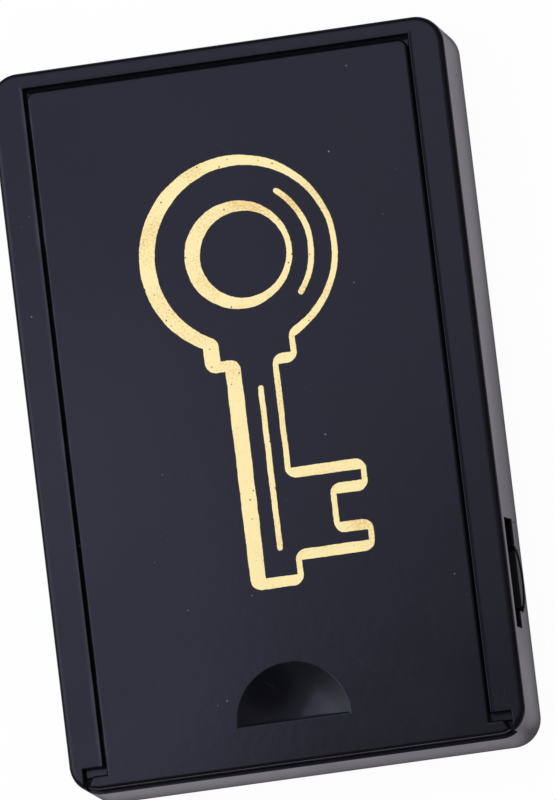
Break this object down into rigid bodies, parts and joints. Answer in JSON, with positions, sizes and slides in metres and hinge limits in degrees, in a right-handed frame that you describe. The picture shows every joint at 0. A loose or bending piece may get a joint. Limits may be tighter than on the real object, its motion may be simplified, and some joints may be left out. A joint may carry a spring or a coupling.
{
  "type": "magnetic key holder box",
  "caption": "Flat plastic key box with a sliding cover, a thumb scoop and two magnets with steel pole plates that hold it on steel.",
  "frame": {"origin": "centre of the footprint, on the plane of the pole plates' edges that the box rests on", "axes": "+X to the right, +Y to the closed head end, +Z out of the front; the cover slides along -Y"},
  "size_m": [0.0644, 0.1016, 0.0165],
  "materials": {
    "black_plastic": "semi-gloss, blue-black, fine moulded texture",
    "cover_plastic": "semi-gloss, blue-black, fine moulded texture",
    "gold_foil": "hot-stamped pale gold foil",
    "ferrite": "matt dark grey sintered ferrite",
    "plated_steel": "zinc-plated steel strip"
  },
  "bodies": {
    "box": {"box_body": "black_plastic", "inner_floor": "black_plastic", "magnet_upper": "ferrite", "magnet_lower": "ferrite", "pole_plate_upper_head_side": "plated_steel", "pole_plate_upper_mouth_side": "plated_steel", "pole_plate_lower_head_side": "plated_steel", "pole_plate_lower_mouth_side": "plated_steel"},
    "cover": {"sliding_cover": "cover_plastic", "key_foil": "gold_foil"}
  },
  "joints": [
    {"name": "cover_slide", "type": "slide", "parent": "box", "child": "cover", "axis": [0, -1, 0], "range_m": [0, 0.082]}
  ]
}
